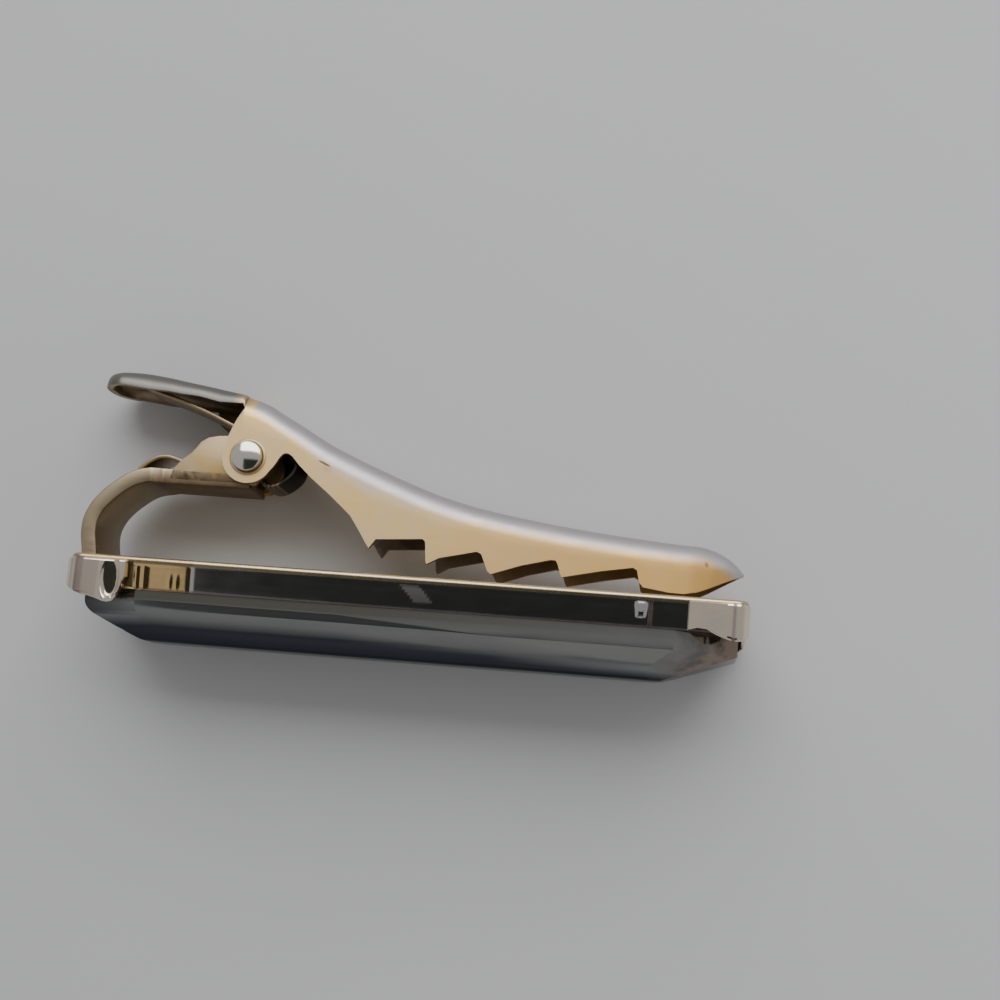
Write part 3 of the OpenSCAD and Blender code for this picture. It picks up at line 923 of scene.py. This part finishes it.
def paper_material():
    """Pale paper, with painted light: a little paler towards the window."""
    mat, tree, shader = new_material("pale_paper")
    place = add(tree, "ShaderNodeTexCoord").outputs["Object"]
    tone = mix(tree, noise(tree, place, 0.05, 3, 0.5), (0.635, 0.635, 0.64), (0.66, 0.66, 0.66))
    # Painted light: the paper's colour rises towards the window and to the right
    slope = add(tree, "ShaderNodeVectorMath", operation="DOT_PRODUCT")
    tree.links.new(place, slope.inputs[0])
    slope.inputs[1].default_value = (6.0, 7.0, 0.0)
    shift = add(tree, "ShaderNodeMath", operation="ADD")
    tree.links.new(slope.outputs["Value"], shift.inputs[0])
    shift.inputs[1].default_value = 0.55
    painted_window_light = ramp(tree, shift.outputs[0], [(0.0, 0.86), (1.0, 1.06)])
    tone = mix(tree, 1.0, tone, painted_window_light, blend_type="MULTIPLY")
    tree.links.new(tone, shader.inputs["Base Color"])
    shader.inputs["Roughness"].default_value = 0.85
    relief = add(tree, "ShaderNodeBump", Strength=0.06, Distance=0.00005)
    tree.links.new(noise(tree, place, 3.0, 4, 0.6), relief.inputs["Height"])
    tree.links.new(relief.outputs[0], shader.inputs["Normal"])
    return mat


sheet = bpy.data.meshes.new("paper")
sheet.from_pydata([(-2, -2, 0), (2, -2, 0), (2, 2, 0), (-2, 2, 0)], [], [(0, 1, 2, 3)])
sheet.materials.append(paper_material())
paper = link("paper", sheet)

# One wide window beyond the bar, turned towards it
light = bpy.data.lights.new("window", "AREA")
light.shape, light.size, light.size_y = "RECTANGLE", 1.2, 0.7
light.energy, light.color = 9.6, (0.97, 0.98, 1.0)
window = link("window", light)
window.location = (0.05, 0.75, 0.62)
window.rotation_mode = "QUATERNION"
window.rotation_quaternion = (-Vector(window.location)).to_track_quat("-Z", "Y")

# A pale room, with a dark shape overhead where the viewer leans in with the camera
world = bpy.data.worlds.new("room")
bpy.context.scene.world = world
world.use_nodes = True
tree = world.node_tree
background = tree.nodes["Background"]
direction = tree.nodes.new("ShaderNodeTexCoord").outputs["Generated"]
split = tree.nodes.new("ShaderNodeSeparateXYZ")
tree.links.new(direction, split.inputs[0])


def calc(operation, a, b):
    """A maths node on two values, each a number or a node's output."""
    node = add(tree, "ShaderNodeMath", operation=operation)
    for socket, value in zip(node.inputs, (a, b)):
        if isinstance(value, bpy.types.NodeSocket):
            tree.links.new(value, socket)
        else:
            socket.default_value = value
    return node.outputs[0]


def between(value, low, high, soft):
    """1 where value lies between low and high, with soft edges."""
    steps = []
    for edge, sign in ((low, 1), (high, -1)):
        node = add(tree, "ShaderNodeMapRange", interpolation_type="SMOOTHSTEP")
        tree.links.new(value, node.inputs["Value"])
        node.inputs["From Min"].default_value = edge - sign * soft
        node.inputs["From Max"].default_value = edge + sign * soft
        steps.append(node.outputs["Result"])
    return calc("MULTIPLY", *steps)


across = calc("DIVIDE", split.outputs["X"], split.outputs["Z"])
beyond = calc("DIVIDE", split.outputs["Y"], split.outputs["Z"])
shape = calc("MULTIPLY", between(across, -0.352, 0.36, 0.012), between(beyond, -0.62, 0.21, 0.03))
shape = calc("MULTIPLY", shape, calc("GREATER_THAN", split.outputs["Z"], 0.3))
low_wall = mix(tree, ramp(tree, calc("ADD", split.outputs["X"], 0.5), [(0.15, 0.0), (0.5, 1.0)]),
               (0.34, 0.34, 0.335), (0.62, 0.60, 0.60))
room = mix(tree, ramp(tree, split.outputs["Z"], [(0.0, 0.0), (0.5, 1.0)]), low_wall,
           (0.43, 0.43, 0.435))
tree.links.new(mix(tree, shape, room, (0.030, 0.033, 0.030)), background.inputs["Color"])
background.inputs["Strength"].default_value = 1.0

# Camera as the photograph's: 120 mm away, nearly straight above. SCALE is pixels per mm at
# the height of the hinge's near head, and HINGE_AT is where that head is in the picture
YAW, PITCH, ROLL = math.radians(6.7), math.radians(9.6), math.radians(4.95)
DISTANCE, SCALE = 120.0, 13.6
HINGE_AT, HEAD_Y = (245.5, 455.0), -3.6
PICTURE, SENSOR = 1000, 36.0
right = Vector((math.cos(YAW), math.sin(YAW), 0))
ahead = Vector((-math.sin(YAW), math.cos(YAW), 0))
up = math.cos(PITCH) * Vector((0, 0, 1)) - math.sin(PITCH) * ahead
ahead = math.cos(PITCH) * ahead + math.sin(PITCH) * Vector((0, 0, 1))
cam_x = math.cos(ROLL) * right + math.sin(ROLL) * up
cam_y = -math.sin(ROLL) * right + math.cos(ROLL) * up
eye = (Vector((0, HEAD_Y, 0)) - cam_x * ((HINGE_AT[0] - PICTURE / 2) / SCALE)
       + cam_y * ((HINGE_AT[1] - PICTURE / 2) / SCALE) - ahead * DISTANCE)
camera = bpy.data.cameras.new("camera")
camera.sensor_width = SENSOR
camera.lens = SENSOR * SCALE * DISTANCE / PICTURE
camera.clip_start, camera.clip_end = 0.005, 10
camera.dof.use_dof = False
cam = link("camera", camera)
axes = Matrix([turn(cam_x), turn(cam_y), turn(-ahead)]).transposed().to_4x4()
cam.matrix_world = Matrix.Translation(lay(*eye)) @ axes
bpy.context.scene.camera = cam
